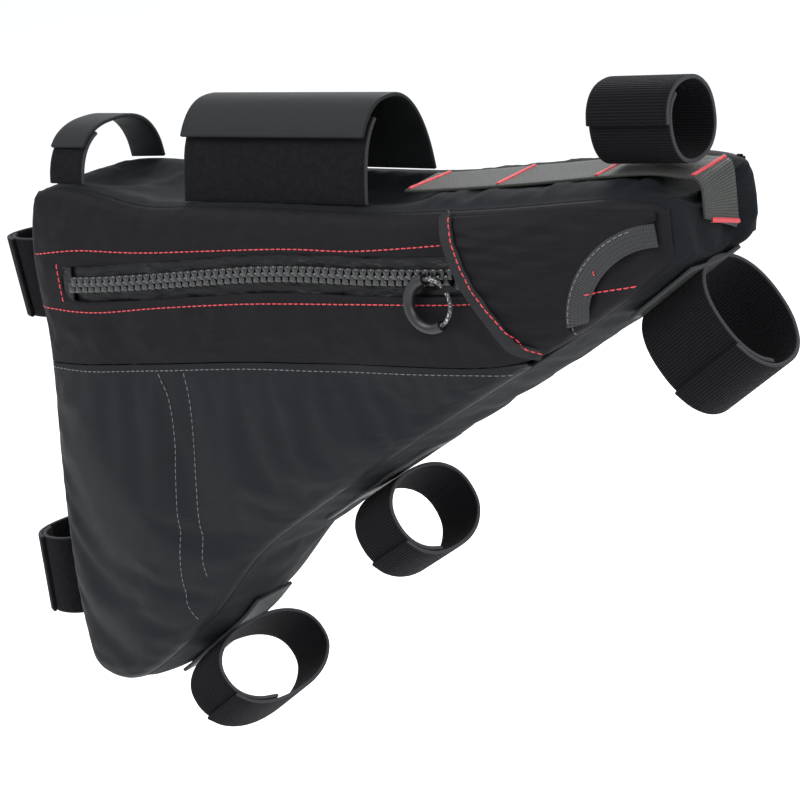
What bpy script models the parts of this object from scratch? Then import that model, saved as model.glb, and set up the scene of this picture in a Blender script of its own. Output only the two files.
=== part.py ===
"""Bicycle frame bag: a soft hollow bag that hangs in a frame's triangle on hook and loop straps.

+X runs forward under the top tube, +Y to the bike's left, +Z up. The origin is on the axis of
the top tube that the three top straps hold. The zip, its flap and the ring are on the right.
"""
import math

import bmesh
import bpy
from mathutils import Vector

# Overall sizes of the bag, in metres
TOP_LENGTH = 0.330          # rear corner to nose corner along the top tube
REAR_HEIGHT = 0.240         # along the seat tube
NOSE_HEIGHT = 0.025
SEAM_WIDTH = 0.061          # between the two side seams, across the bag
SEAM_ROUND = 0.0045         # radius where a side panel turns into the gusset
PANEL_BULGE = 0.0075        # how far a side panel swells beyond its seams
BULGE_REACH = 0.055         # distance from a seam over which it swells
CLOTH = 0.0015
SEAM_GAP = 0.0006           # between two cloth pieces that are sewn edge to edge
LAY_GAP = 0.0003            # between two pieces that lie on each other

# Where the top tube's axis lies, from the bag's top rear corner
TUBE_AXIS_FORWARD = 0.150
TUBE_AXIS_ABOVE = 0.024

# Zip
ZIP_OPENING = 0.0165
ZIP_START = 0.012           # from the rear corner
ZIP_LENGTH = 0.232
TAPE_THICKNESS = 0.0010
TAPE_OVERLAP = 0.0020       # tape behind the cloth on each side of the opening
TAPE_RECESS = 0.0010        # tape's face below the back of the cloth
CHAIN_WIDTH = 0.0078
CHAIN_HEIGHT = 0.0030
TOOTH_PITCH = 0.0040
TOOTH_REACH = 0.0047        # from one edge of the chain past its middle
TOOTH_RISE = 0.0009
TAB_WIDTH = 0.006

# Pull ring and its cord
RING_DIAMETER = 0.0255      # of the cord's loop with its sleeve on, outside
SLEEVE_WIRE = 0.0050
SLEEVE_TURN = 200           # degrees of the loop inside the sleeve
CORD_DIAMETER = 0.0016

# Flap over the front of the zip, and the cable port in it
FLAP_CLOTH = 0.0011
FLAP_RISE = 0.0055          # how far its free edge stands off the panel
PORT_RADIUS = 0.0485        # outer edge of the binding
BINDING_WIDTH = 0.0090
BINDING_THICKNESS = 0.0014

# Webbing and straps
WEBBING_WIDTH = 0.025
WEBBING_THICKNESS = 0.0013
STRAP_THICKNESS = 0.0018
STRIP_THICKNESS = 0.0018
WIDE_STRAP = 0.100
FRONT_STRAP = 0.038
NARROW_STRAP = 0.020
LOWER_STRAP = 0.025
SEAT_STRAP = 0.038
STRAP_SEGMENTS = 20

# Crown of each gusset between the side seams
TOP_CROWN = 0.003
REAR_CROWN = 0.004
DOWN_CROWN = 0.003
NOSE_CROWN = 0.003
CROWN_TAPER = 0.018         # over this length a gusset goes flat at its two ends

# Top edge: share of the length, drop of the near and the far seam as shares of the rear height
TOP_LINE = (
    ("along", "near_drop", "far_drop"),
    (0.000, 0.013, 0.013),
    (0.021, 0.002, 0.002),
    (0.082, 0.011, 0.006),
    (0.180, 0.041, 0.012),
    (0.290, 0.034, 0.016),
    (0.450, 0.035, 0.019),
    (0.580, 0.039, 0.019),
    (0.690, 0.032, 0.006),
    (0.780, 0.023, -0.005),
    (0.870, 0.011, -0.016),
    (0.965, 0.002, -0.026),
    (1.000, 0.015, -0.014),
)
# Rear edge: share of the rear height from the top, set-back as a share of the length
REAR_LINE = (
    ("down", "back"),
    (0.000, 0.000),
    (0.046, 0.023),
    (0.175, 0.033),
    (0.260, 0.025),
    (0.390, 0.029),
    (0.560, 0.041),
    (0.740, 0.047),
    (0.870, 0.045),
    (0.935, 0.039),
)
# Lower edge: share of the length, share of the way down from the nose's foot to the lowest point
LOWER_LINE = (
    ("along", "depth"),
    (-0.039, 0.926),
    (-0.020, 0.987),
    (0.012, 1.000),
    (0.055, 0.981),
    (0.118, 0.911),
    (0.209, 0.805),
    (0.288, 0.670),
    (0.385, 0.570),
    (0.512, 0.452),
    (0.636, 0.342),
    (0.714, 0.274),
    (0.815, 0.186),
    (0.915, 0.093),
    (0.967, 0.037),
    (1.000, 0.000),
)
# Middle of the zip opening, and the seam under the band: drops as shares of the rear height
ZIP_LINE = (
    ("along", "zip_drop", "hem_drop"),
    (-0.04, 0.187, 0.343),
    (0.04, 0.183, 0.337),
    (0.18, 0.170, 0.324),
    (0.36, 0.148, 0.306),
    (0.44, 0.142, 0.303),
    (0.57, 0.142, 0.299),
    (0.73, 0.134, 0.297),
    (0.80, 0.128, 0.280),
    (1.00, 0.070, 0.200),
)
# Dents of the right side: start and end as shares of length and height, width, depth
DENTS = (
    ("x0", "z0", "x1", "z1", "width", "depth"),
    (0.50, 0.335, 0.66, 0.405, 0.0100, 0.0032),
    (0.40, 0.560, 0.27, 0.610, 0.0080, 0.0022),
    (0.36, 0.640, 0.22, 0.660, 0.0070, 0.0018),
    (0.30, 0.700, 0.20, 0.860, 0.0100, 0.0030),
    (0.10, 0.250, 0.16, 0.345, 0.0090, 0.0016),
    (0.02, 0.060, 0.10, 0.130, 0.0100, 0.0020),
)
# Free edge of the flap, from the top seam to the lower seam: shares of length and height
FLAP_EDGE = (
    ("along", "drop"),
    (0.664, 0.034),
    (0.679, 0.077),
    (0.708, 0.146),
    (0.739, 0.199),
    (0.768, 0.251),
    (0.797, 0.273),
)

PARTS = "frame bag"
FINISHES = {
    "band_cloth": ((0.017, 0.014, 0.018), 0.62),
    "panel_cloth": ((0.016, 0.019, 0.024), 0.58),
    "gusset_cloth": ((0.030, 0.036, 0.045), 0.55),
    "zip_tape": ((0.006, 0.006, 0.007), 0.22),
    "zip_teeth": ((0.010, 0.010, 0.011), 0.38),
    "webbing": ((0.040, 0.041, 0.036), 0.70),
    "loop_strap": ((0.014, 0.013, 0.015), 0.85),
    "hook_strap": ((0.030, 0.031, 0.033), 0.60),
    "ring": ((0.012, 0.012, 0.013), 0.45),
    "pull_cord": ((0.030, 0.030, 0.030), 0.75),
}


def between(rows, share, column):
    """The value of a table's column at a share, on a smooth curve through the rows."""
    names, points = rows[0], rows[1:]
    at = names.index(column)
    share = min(max(share, points[0][0]), points[-1][0])
    last = len(points) - 1
    k = next(i for i in range(last) if share <= points[i + 1][0] or i == last - 1)
    x0, x1 = points[k][0], points[k + 1][0]
    y0, y1 = points[k][at], points[k + 1][at]

    def slope(i):
        low, high = max(i - 1, 0), min(i + 1, last)
        return (points[high][at] - points[low][at]) / (points[high][0] - points[low][0])

    step = x1 - x0
    t = (share - x0) / step
    start = (2 * t ** 3 - 3 * t ** 2 + 1) * y0 + (t ** 3 - 2 * t ** 2 + t) * step * slope(k)
    end = (3 * t ** 2 - 2 * t ** 3) * y1 + (t ** 3 - t ** 2) * step * slope(k + 1)
    return start + end


def top_z(x, side):
    """Height of the top seam on one side: side is -1 for the right, 1 for the left."""
    column = "near_drop" if side < 0 else "far_drop"
    return -between(TOP_LINE, x / TOP_LENGTH, column) * REAR_HEIGHT


def low_z(x):
    fall = REAR_HEIGHT - NOSE_HEIGHT
    return -NOSE_HEIGHT - between(LOWER_LINE, x / TOP_LENGTH, "depth") * fall


def rear_x(z):
    return -between(REAR_LINE, -z / REAR_HEIGHT, "back") * TOP_LENGTH


def zip_z(x):
    return -between(ZIP_LINE, x / TOP_LENGTH, "zip_drop") * REAR_HEIGHT


def hem_z(x):
    """The seam between the zip band and the lower panel, or the lower edge in front of it."""
    return max(-between(ZIP_LINE, x / TOP_LENGTH, "hem_drop") * REAR_HEIGHT, low_z(x))


def skin(x, z, side):
    """Half width of the bag's outer face at a point of its side."""
    slope = (low_z(x + 0.01) - low_z(x - 0.01)) / 0.02
    to_low = (z - low_z(x)) / math.hypot(1, slope)
    edges = (top_z(x, side) - z, to_low, x - rear_x(z), TOP_LENGTH - x)
    edges = [max(e, 0) for e in edges]
    near = min(min(edges), SEAM_ROUND)
    turn = math.sqrt(SEAM_ROUND ** 2 - (SEAM_ROUND - near) ** 2)
    swell = 1
    for edge in edges:
        swell *= 1 - (1 - min(edge / BULGE_REACH, 1)) ** 2
    half = SEAM_WIDTH / 2 + turn + PANEL_BULGE * swell
    if side < 0:
        for row in DENTS[1:]:
            half -= dent(x, z, dict(zip(DENTS[0], row))) * min(min(edges) / 0.01, 1)
    return half


def dent(x, z, row):
    """Depth of one dent, a soft groove round a line between its two ends."""
    ax, az = row["x0"] * TOP_LENGTH, -row["z0"] * REAR_HEIGHT
    bx, bz = row["x1"] * TOP_LENGTH, -row["z1"] * REAR_HEIGHT
    run = (bx - ax) ** 2 + (bz - az) ** 2
    t = min(max(((x - ax) * (bx - ax) + (z - az) * (bz - az)) / run, 0), 1)
    away = math.hypot(x - ax - t * (bx - ax), z - az - t * (bz - az))
    return row["depth"] * math.exp(-(away / row["width"]) ** 2)


def on_skin(x, z, side, rise=0.0):
    """A point on a side panel's outer face, or a rise above it along its normal."""
    step = 0.002
    across = (skin(x + step, z, side) - skin(x - step, z, side)) / (2 * step)
    upward = (skin(x, z + step, side) - skin(x, z - step, side)) / (2 * step)
    normal = Vector((-across, side, -upward)).normalized()
    return Vector((x, side * skin(x, z, side), z)) + normal * rise


def edge_steps(count, span):
    """Steps from a seam inward: fine ones round the seam's radius, then even ones to a span."""
    turn = [SEAM_ROUND * (1 - math.cos(math.radians(a))) for a in (0, 14, 48, 90)]
    return turn + [SEAM_ROUND + (span - SEAM_ROUND) * (i + 1) / count for i in range(count)]


def finish(name):
    """The material of one finish, made once."""
    material = bpy.data.materials.get(name)
    if material is None:
        material = bpy.data.materials.new(name)
        material.use_nodes = True
        colour, roughness = FINISHES[name]
        shader = material.node_tree.nodes["Principled BSDF"]
        shader.inputs["Base Color"].default_value = (*colour, 1)
        shader.inputs["Roughness"].default_value = roughness
        material.diffuse_color = (*colour, 1)
    return material


def place(name, mesh, slot):
    """One named piece, in the bag's own axes under the empty at its top rear corner."""
    piece = bpy.data.objects.new(name, mesh)
    mesh.materials.append(finish(slot))
    piece.parent = corner
    bpy.data.collections[PARTS].objects.link(piece)
    return piece


def cloth(name, rows, thickness, slot, outward, skip=None, blunt=False):
    """A sheet through rows of points, thickened inward: outward is a rough outer direction.

    A blunt sheet has no corner cells, so that a tight corner doesn't turn its rim sideways.
    """
    shell = bmesh.new()
    points = [[shell.verts.new(p) for p in row] for row in rows]
    ends = (0, len(rows) - 2), (0, len(rows[0]) - 2)
    for i in range(len(rows) - 1):
        for j in range(len(rows[0]) - 1):
            if (blunt and i in ends[0] and j in ends[1]) or (skip and skip(i, j)):
                continue
            corners = (points[i][j], points[i][j + 1], points[i + 1][j + 1], points[i + 1][j])
            shell.faces.new(corners)
    shell.verts.ensure_lookup_table()
    bmesh.ops.delete(shell, geom=[v for v in shell.verts if not v.link_faces], context="VERTS")
    shell.normal_update()
    facing = sum((f.normal.dot(outward(f.calc_center_median())) * f.calc_area())
                 for f in shell.faces)
    if facing < 0:
        bmesh.ops.reverse_faces(shell, faces=shell.faces[:])
    mesh = bpy.data.meshes.new(name)
    shell.to_mesh(mesh)
    shell.free()
    piece = place(name, mesh, slot)
    thick = piece.modifiers.new("cloth thickness", "SOLIDIFY")
    thick.thickness = thickness
    thick.offset = -1
    thick.use_even_offset = True
    mesh.shade_smooth()
    return piece


def towards(direction):
    return lambda _: Vector(direction)


def spread(low, high, count):
    return [low + (high - low) * i / count for i in range(count + 1)]


bpy.context.view_layer.update()
for old in list(bpy.data.objects):
    bpy.data.objects.remove(old, do_unlink=True)
bag = bpy.data.collections.new(PARTS)
bpy.context.scene.collection.children.link(bag)
corner = bpy.data.objects.new("top_rear_corner", None)
corner.location = (-TUBE_AXIS_FORWARD, 0, -TUBE_AXIS_ABOVE)
bag.objects.link(corner)


# Columns of the side panels: fine at both ends, where the cloth turns into the gussets
def columns(front, count):
    steps = edge_steps(0, 0)
    rear_share = [s / TOP_LENGTH for s in steps]
    front_share = [1 - s / TOP_LENGTH for s in reversed(steps)]
    middle = spread(rear_share[-1], front_share[0], count)[1:-1]
    return [s for s in rear_share + middle + front_share if s <= front]


def column_x(share, z):
    """Where a column stands at one height: it leans from the rear edge to the upright nose."""
    return rear_x(z) * (1 - share) + TOP_LENGTH * share


def side_point(share, z, side, rise=0.0):
    return on_skin(column_x(share, z), z, side, rise)


def crossing(share, line):
    """The height at which a column crosses an edge or a seam."""
    z = 0.0
    for _ in range(12):
        z = line(column_x(share, z))
    return z


def near_top(x):
    return top_z(x, -1)


def far_top(x):
    return top_z(x, 1)


BAND_COLUMNS = columns(1, 21)
LEFT_COLUMNS = columns(1, 16)


# Right zip band: from the top seam to the hem, with the zip opening cut in it
def band_rows():
    rows = []
    turn = edge_steps(0, 0)
    for share in BAND_COLUMNS:
        top, hem = crossing(share, near_top), crossing(share, hem_z)
        middle = crossing(share, zip_z)
        half = min(ZIP_OPENING / 2, (top - hem) * 0.16)
        middle = min(max(middle, hem + (top - hem) * 0.34), hem + (top - hem) * 0.66)
        scale = min(1, (middle - half - hem) / (SEAM_ROUND * 1.3))
        column = [top - s * scale for s in turn]
        column += spread(column[-1], middle + half, 2)[1:]
        column += [middle - half]
        foot = [hem + s * scale for s in reversed(turn)]
        column += spread(middle - half, foot[0], 2)[1:-1] + foot
        rows.append([side_point(share, z, -1) for z in column])
    return rows


def in_zip_opening(i, j):
    x = [column_x(BAND_COLUMNS[k], zip_z(0)) for k in (i, i + 1)]
    return j == 5 and x[0] >= ZIP_START - 0.012 and x[1] <= ZIP_START + ZIP_LENGTH + 0.012


cloth("right_zip_band", band_rows(), CLOTH, "band_cloth", towards((0, -1, 0)), in_zip_opening,
      blunt=True)


# Right lower panel: the triangle under the band, down to the bottom corner
def lower_rows():
    rows = []
    turn = edge_steps(0, 0)
    meet = next(x for x in spread(0.5 * TOP_LENGTH, TOP_LENGTH, 400) if hem_z(x) <= low_z(x))
    last = (meet - rear_x(low_z(0)) - 2.2 * SEAM_ROUND) / (TOP_LENGTH - rear_x(low_z(0)))
    for share in columns(last, 19) + [last]:
        top, low = crossing(share, hem_z) - SEAM_GAP, crossing(share, low_z)
        scale = min(1, (top - low) / (SEAM_ROUND * 2))
        foot = [low + s * scale for s in reversed(turn)]
        column = spread(top, foot[0], 8)[:-1] + foot
        rows.append([side_point(share, z, -1) for z in column])
    return rows


cloth("right_lower_panel", lower_rows(), CLOTH, "panel_cloth", towards((0, -1, 0)), blunt=True)


# Left panel: one plain piece, the same outline
def left_rows():
    rows = []
    turn = edge_steps(0, 0)
    for share in LEFT_COLUMNS:
        top, low = crossing(share, far_top), crossing(share, low_z)
        head = [top - s for s in turn]
        foot = [low + s for s in reversed(turn)]
        column = head + spread(head[-1], foot[0], 8)[1:-1] + foot
        rows.append([side_point(share, z, 1) for z in column])
    return rows


cloth("left_panel", left_rows(), CLOTH, "panel_cloth", towards((0, 1, 0)), blunt=True)


# Gussets: strips between the two side seams
def gusset_row(near, far, outward, crown, count):
    """One row of a gusset across the bag, from a point on the near seam to one on the far."""
    row = []
    reach = SEAM_WIDTH / 2 - SEAM_GAP
    for t in spread(-1, 1, count):
        at = near.lerp(far, (t + 1) / 2) + outward * crown * (1 - t * t)
        row.append(Vector((at.x, t * reach, at.z)))
    return row


def seam(points):
    """Outward normals in the side view along a run of seam points."""
    normals = []
    for i in range(len(points)):
        a, b = points[max(i - 1, 0)], points[min(i + 1, len(points) - 1)]
        along = (b - a).normalized()
        normals.append(Vector((along.z, 0, -along.x)))
    return normals


def gusset(name, near, far, crown, slot, outward):
    middle = [(a + b) / 2 for a, b in zip(near, far)]
    normals = seam(middle)
    if sum(n.dot(outward) for n in normals) < 0:
        normals = [-n for n in normals]
    travelled = [0.0]
    for a, b in zip(middle, middle[1:]):
        travelled.append(travelled[-1] + (b - a).length)
    rows = []
    for a, b, n, s in zip(near, far, normals, travelled):
        to_end = min(s, travelled[-1] - s) / CROWN_TAPER
        rise = crown * (1 - (1 - min(to_end, 1)) ** 2)
        rows.append(gusset_row(a, b, n, rise, 6))
    return cloth(name, rows, CLOTH, slot, towards(outward))


def along_seam(line, shares):
    heights = [crossing(share, line) for share in shares]
    return [Vector((column_x(share, z), 0, z)) for share, z in zip(shares, heights)]


def trimmed(points, start, end):
    """A run of seam points with a length cut off each end."""
    points = [p.copy() for p in points]
    for cut, reverse in ((start, False), (end, True)):
        if reverse:
            points.reverse()
        while (points[1] - points[0]).length < cut:
            cut -= (points[1] - points[0]).length
            points.pop(0)
        points[0] = points[0] + (points[1] - points[0]).normalized() * cut
        if reverse:
            points.reverse()
    return points


NEAR_TOP = along_seam(near_top, BAND_COLUMNS)
FAR_TOP = along_seam(far_top, BAND_COLUMNS)
LOW_SEAM = along_seam(low_z, BAND_COLUMNS)
gusset("top_gusset", NEAR_TOP, FAR_TOP, TOP_CROWN, "gusset_cloth", Vector((0, 0, 1)))
gusset("down_tube_gusset", LOW_SEAM, LOW_SEAM, DOWN_CROWN, "panel_cloth", Vector((0.5, 0, -0.9)))


def upright_seam(side, share, count):
    """The seam at the rear, share 0, or at the nose, share 1, clear of the strips it meets."""
    top = crossing(share, near_top if side < 0 else far_top)
    heights = spread(top, crossing(share, low_z), count)
    points = [Vector((column_x(share, z), 0, z)) for z in heights]
    clear = CLOTH + SEAM_GAP
    return trimmed(points, clear, clear)


gusset("nose_gusset", upright_seam(-1, 1, 5), upright_seam(1, 1, 5), NOSE_CROWN,
       "gusset_cloth", Vector((1, 0, 0)))
gusset("seat_tube_gusset", upright_seam(-1, 0, 14), upright_seam(1, 0, 14), REAR_CROWN,
       "panel_cloth", Vector((-1, 0, 0)))


# Zip: two coated tapes behind the opening, and between them one chain of moulded teeth
def zip_point(x, v, rise):
    """A point by the zip: v is measured up from its middle, rise from the cloth's outer face."""
    return on_skin(x, zip_z(x) + v, -1, rise)


TAPE_FACE = -(CLOTH + TAPE_RECESS)
SLIDER_LENGTH = 0.012
SLIDER_WIDTH = 0.0105
SLIDER_HEIGHT = 0.0044
ZIP_END = ZIP_START + ZIP_LENGTH


def tape(name, side):
    inner, outer = LAY_GAP, ZIP_OPENING / 2 + TAPE_OVERLAP
    rows = []
    for x in spread(ZIP_START - TAPE_OVERLAP * 2, ZIP_END + TAPE_OVERLAP * 2, 16):
        rows.append([zip_point(x, side * v, TAPE_FACE) for v in spread(inner, outer, 2)])
    return cloth(name, rows, TAPE_THICKNESS, "zip_tape", towards((0, -1, 0)))


tape("zip_tape_upper", 1)
tape("zip_tape_lower", -1)


def zip_chain():
    """A bar along the tapes whose upper and lower teeth are raised in turn."""
    length = ZIP_LENGTH - SLIDER_LENGTH - LAY_GAP - TAB_WIDTH
    steps = 2 * round(length / TOOTH_PITCH)
    lines = (-CHAIN_WIDTH / 2, CHAIN_WIDTH / 2 - TOOTH_REACH, TOOTH_REACH - CHAIN_WIDTH / 2,
             CHAIN_WIDTH / 2)
    body = bmesh.new()
    start = ZIP_START + TAB_WIDTH
    stations = [start + i * length / steps for i in range(steps + 1)]
    floor = TAPE_FACE + LAY_GAP
    low = floor + CHAIN_HEIGHT - TOOTH_RISE
    top = [[body.verts.new(zip_point(x, v, low)) for v in lines] for x in stations]
    foot = [[body.verts.new(zip_point(x, v, floor)) for v in lines] for x in stations]
    raised = []
    for i in range(steps):
        for j in range(3):
            face = body.faces.new((top[i][j], top[i + 1][j], top[i + 1][j + 1], top[i][j + 1]))
            if j == 1 or j == (2 if i % 2 else 0):
                raised.append(face)
            body.faces.new((foot[i][j], foot[i][j + 1], foot[i + 1][j + 1], foot[i + 1][j]))
        for j, flip in ((0, False), (3, True)):
            side = (top[i][j], foot[i][j], foot[i + 1][j], top[i + 1][j])
            body.faces.new(tuple(reversed(side)) if flip else side)
    for i, flip in ((0, True), (steps, False)):
        for j in range(3):
            end = (top[i][j], foot[i][j], foot[i][j + 1], top[i][j + 1])
            body.faces.new(tuple(reversed(end)) if flip else end)
    bmesh.ops.recalc_face_normals(body, faces=body.faces[:])
    grown = bmesh.ops.extrude_face_region(body, geom=raised)["geom"]
    bmesh.ops.delete(body, geom=raised, context="FACES_ONLY")
    lift = on_skin(start, zip_z(start), -1, 1) - on_skin(start, zip_z(start), -1, 0)
    for vertex in (g for g in grown if isinstance(g, bmesh.types.BMVert)):
        vertex.co += lift * TOOTH_RISE
    bmesh.ops.recalc_face_normals(body, faces=body.faces[:])
    mesh = bpy.data.meshes.new("zip_chain")
    body.to_mesh(mesh)
    body.free()
    return place("zip_chain", mesh, "zip_teeth")


zip_chain()


def turned_box(name, size, at, slot, bevel):
    """A box with rounded edges on the side panel, its thin way along the panel's normal."""
    bpy.ops.mesh.primitive_cube_add(size=1)
    made = bpy.context.object
    mesh = made.data
    bpy.data.objects.remove(made)
    x, z, rise = at
    normal = (on_skin(x, z, -1, 1) - on_skin(x, z, -1, 0)).normalized()
    ahead = (on_skin(x + 0.004, z, -1) - on_skin(x - 0.004, z, -1)).normalized()
    up = normal.cross(ahead)
    centre = on_skin(x, z, -1, rise)
    for vertex in mesh.vertices:
        a, b, c = (k * s for k, s in zip(vertex.co, size))
        vertex.co = centre + ahead * a + up * b - normal * c
    solid = bmesh.new()
    solid.from_mesh(mesh)
    bmesh.ops.recalc_face_normals(solid, faces=solid.faces[:])
    solid.to_mesh(mesh)
    solid.free()
    mesh.name = name
    piece = place(name, mesh, slot)
    edge = piece.modifiers.new("rounded edges", "BEVEL")
    edge.width = bevel
    edge.segments = 2
    edge.limit_method = "ANGLE"
    return piece


SLIDER_X = ZIP_END - SLIDER_LENGTH / 2
turned_box("zip_slider", (SLIDER_LENGTH, SLIDER_WIDTH, SLIDER_HEIGHT),
           (SLIDER_X, zip_z(SLIDER_X), TAPE_FACE + LAY_GAP + SLIDER_HEIGHT / 2),
           "zip_teeth", 0.0008)
TAB_X = ZIP_START + TAB_WIDTH / 2 - LAY_GAP
turned_box("zip_end_tab", (TAB_WIDTH, ZIP_OPENING - 2 * LAY_GAP, CLOTH),
           (TAB_X, zip_z(TAB_X), TAPE_FACE + LAY_GAP + CLOTH / 2), "band_cloth", 0.0004)


# Pull: a loop of thin cord from the slider, with a rubber sleeve threaded over most of it
LOOP_RADIUS = (RING_DIAMETER - SLEEVE_WIRE) / 2
LOOP_X = SLIDER_X - SLIDER_LENGTH * 0.75 - LOOP_RADIUS * 0.9
LOOP_Z = zip_z(SLIDER_X) - LOOP_RADIUS * 1.05
LOOP_RISE = SLEEVE_WIRE / 2 + 0.0012


def loop_point(turn):
    """A point of the pull's loop: turn 0 is at the front, 90 at the top."""
    angle = math.radians(turn)
    x = LOOP_X + LOOP_RADIUS * math.cos(angle)
    z = LOOP_Z + LOOP_RADIUS * math.sin(angle)
    return on_skin(x, z, -1, LOOP_RISE)


def tube(name, points, diameter, slot, resolution):
    """A round cord or tube through points, with filled ends, as a closed mesh."""
    curve = bpy.data.curves.new(name, "CURVE")
    curve.dimensions = "3D"
    curve.bevel_depth = diameter / 2
    curve.bevel_resolution = resolution
    curve.use_fill_caps = True
    line = curve.splines.new("POLY")
    line.points.add(len(points) - 1)
    for vertex, point in zip(line.points, points):
        vertex.co = (*point, 1)
    made = bpy.data.objects.new(name, curve)
    bag.objects.link(made)
    bpy.context.view_layer.update()
    shape = made.evaluated_get(bpy.context.evaluated_depsgraph_get())
    mesh = bpy.data.meshes.new_from_object(shape)
    bpy.data.objects.remove(made)
    bpy.data.curves.remove(curve)
    weld = bmesh.new()
    weld.from_mesh(mesh)
    bmesh.ops.remove_doubles(weld, verts=weld.verts[:], dist=0.00001)
    bmesh.ops.recalc_face_normals(weld, faces=weld.faces[:])
    weld.to_mesh(mesh)
    weld.free()
    mesh.name = name
    mesh.materials.clear()
    mesh.shade_smooth()
    return place(name, mesh, slot)


SLEEVE_START = 100
SLEEVE_END = SLEEVE_START + SLEEVE_TURN
CORD_CLEAR = math.degrees(LAY_GAP * 1.5 / LOOP_RADIUS)
tube("ring_sleeve", [loop_point(a) for a in spread(SLEEVE_START, SLEEVE_END, 16)],
     SLEEVE_WIRE, "ring", 2)
tube("pull_cord", [loop_point(a) for a in
                   spread(SLEEVE_END + CORD_CLEAR, SLEEVE_START + 360 - CORD_CLEAR, 18)],
     CORD_DIAMETER, "pull_cord", 1)


# Flap over the front of the zip: sewn at the top, the nose and the lower seam, free at the rear
def flap_edge(v):
    """The free edge, v from 0 at the top seam to 1 at the lower seam."""
    last = len(FLAP_EDGE) - 2
    k = min(int(v * last), last - 1)
    a, b = FLAP_EDGE[1 + k], FLAP_EDGE[2 + k]
    t = v * last - k
    along, drop = (a[i] + (b[i] - a[i]) * t for i in (0, 1))
    return along * TOP_LENGTH, -drop * REAR_HEIGHT


PORT_X = TOP_LENGTH - 0.001
PORT_Z = -NOSE_HEIGHT - 0.032


def port_edge(turn, inset=0.0):
    """A point of the cable port's rim, a round arc: turn 0 at the nose seam."""
    angle = math.radians(90 + turn)
    radius = PORT_RADIUS - inset
    return PORT_X + radius * math.cos(angle), PORT_Z + radius * math.sin(angle)


PORT_TURN = 86


def flap_far(v):
    """The flap's front boundary: down the nose seam, then round the port's rim."""
    nose = 0.2
    top = near_top(TOP_LENGTH * 0.985) - SEAM_ROUND * 0.6
    if v < nose:
        x, z = port_edge(0)
        return x - SEAM_ROUND * 0.6, top + (z - top) * v / nose
    return port_edge(3 + (PORT_TURN - 3) * (v - nose) / (1 - nose))


def flap_rows():
    rows = []
    across, down = 10, 10
    for i in range(down + 1):
        v = i / down
        (x0, z0), (x1, z1) = flap_edge(v), flap_far(v)
        row = []
        for j in range(across + 1):
            u = j / across
            x, z = x0 + (x1 - x0) * u, z0 + (z1 - z0) * u
            top = near_top(x) - SEAM_ROUND * 0.5
            low = low_z(x) + SEAM_ROUND * 0.7
            z = min(max(z, low), top)
            seat = min((top - z) / 0.012, (z - low) / 0.012, 1)
            lift = FLAP_RISE * (1 - u) ** 2 * max(seat, 0) ** 0.5
            row.append(on_skin(x, z, -1, FLAP_CLOTH + LAY_GAP * 2 + lift))
        rows.append(row)
    return rows


cloth("zip_garage", flap_rows(), FLAP_CLOTH, "band_cloth", towards((0, -1, 0)))


def binding_rows():
    rows = []
    for turn in spread(4, PORT_TURN - 2, 10):
        row = []
        for inset in (-LAY_GAP, BINDING_WIDTH / 2, BINDING_WIDTH):
            x, z = port_edge(turn, inset + LAY_GAP * 2)
            z = min(max(z, low_z(x) + SEAM_ROUND * 0.7), near_top(x) - SEAM_ROUND * 0.5)
            row.append(on_skin(x, z, -1, BINDING_THICKNESS + LAY_GAP * 2))
        rows.append(row)
    return rows


cloth("port_binding", binding_rows(), BINDING_THICKNESS, "webbing", towards((0, -1, 0)))


# Gusset faces, to lay webbing and straps on
def seam_z(points, x):
    """Height of a seam at x, on the straight runs between its points."""
    last = len(points) - 1
    k = next(i for i in range(last) if x <= points[i + 1].x or i == last - 1)
    a, b = points[k], points[k + 1]
    return a.z + (b.z - a.z) * (x - a.x) / (b.x - a.x)


def gusset_point(kind, place_along, y, rise):
    """A point above a gusset: place_along is X on the top and below, or Z at the rear."""
    reach = SEAM_WIDTH / 2 - SEAM_GAP
    t = y / reach
    if kind == "top":
        far = (t + 1) / 2
        line = lambda x: Vector((x, 0, seam_z(NEAR_TOP, x) * (1 - far) + seam_z(FAR_TOP, x) * far))
        crown, sign = TOP_CROWN, 1
    elif kind == "down":
        line = lambda x: Vector((x, 0, seam_z(LOW_SEAM, x)))
        crown, sign = DOWN_CROWN, -1
    else:
        line = lambda z: Vector((rear_x(z), 0, z))
        crown, sign = REAR_CROWN, -1
    a, b = line(place_along - 0.006), line(place_along + 0.006)
    along = (b - a).normalized()
    normal = Vector((-along.z, 0, along.x)) * sign
    if kind == "rear":
        normal = Vector((-1, 0, 0))
    at = line(place_along) + normal * (crown * (1 - t * t) + rise)
    return Vector((at.x, y, at.z)), along, normal


def strip(name, kind, start, end, width, thickness, slot, count, shift=0.0):
    rows = []
    for at in spread(start, end, count):
        row = []
        for y in spread(shift - width / 2, shift + width / 2, 4):
            row.append(gusset_point(kind, at, y, thickness + 2 * LAY_GAP)[0])
        rows.append(row)
    normal = gusset_point(kind, (start + end) / 2, 0, 0)[2]
    return cloth(name, rows, thickness, slot, towards(normal))


# Daisy webbing: one band along the front of the top and down over the nose
def daisy_rows():
    lay = WEBBING_THICKNESS + 2 * LAY_GAP
    sides = spread(-WEBBING_WIDTH / 2, WEBBING_WIDTH / 2, 2)
    front = TOP_LENGTH + NOSE_CROWN + lay
    rows = []
    for x in spread(0.575 * TOP_LENGTH, 0.985 * TOP_LENGTH, 12):
        rows.append([gusset_point("top", x, y, lay)[0] for y in sides])
    bend = [Vector((TOP_LENGTH + NOSE_CROWN * 0.6, p.y, p.z - lay * 0.2)) for p in rows[-1]]
    rows.append(bend)
    for down in (0.16, 0.5, 0.86):
        rows.append([Vector((front, p.y, p.z - down * NOSE_HEIGHT)) for p in bend])
    return rows


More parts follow.
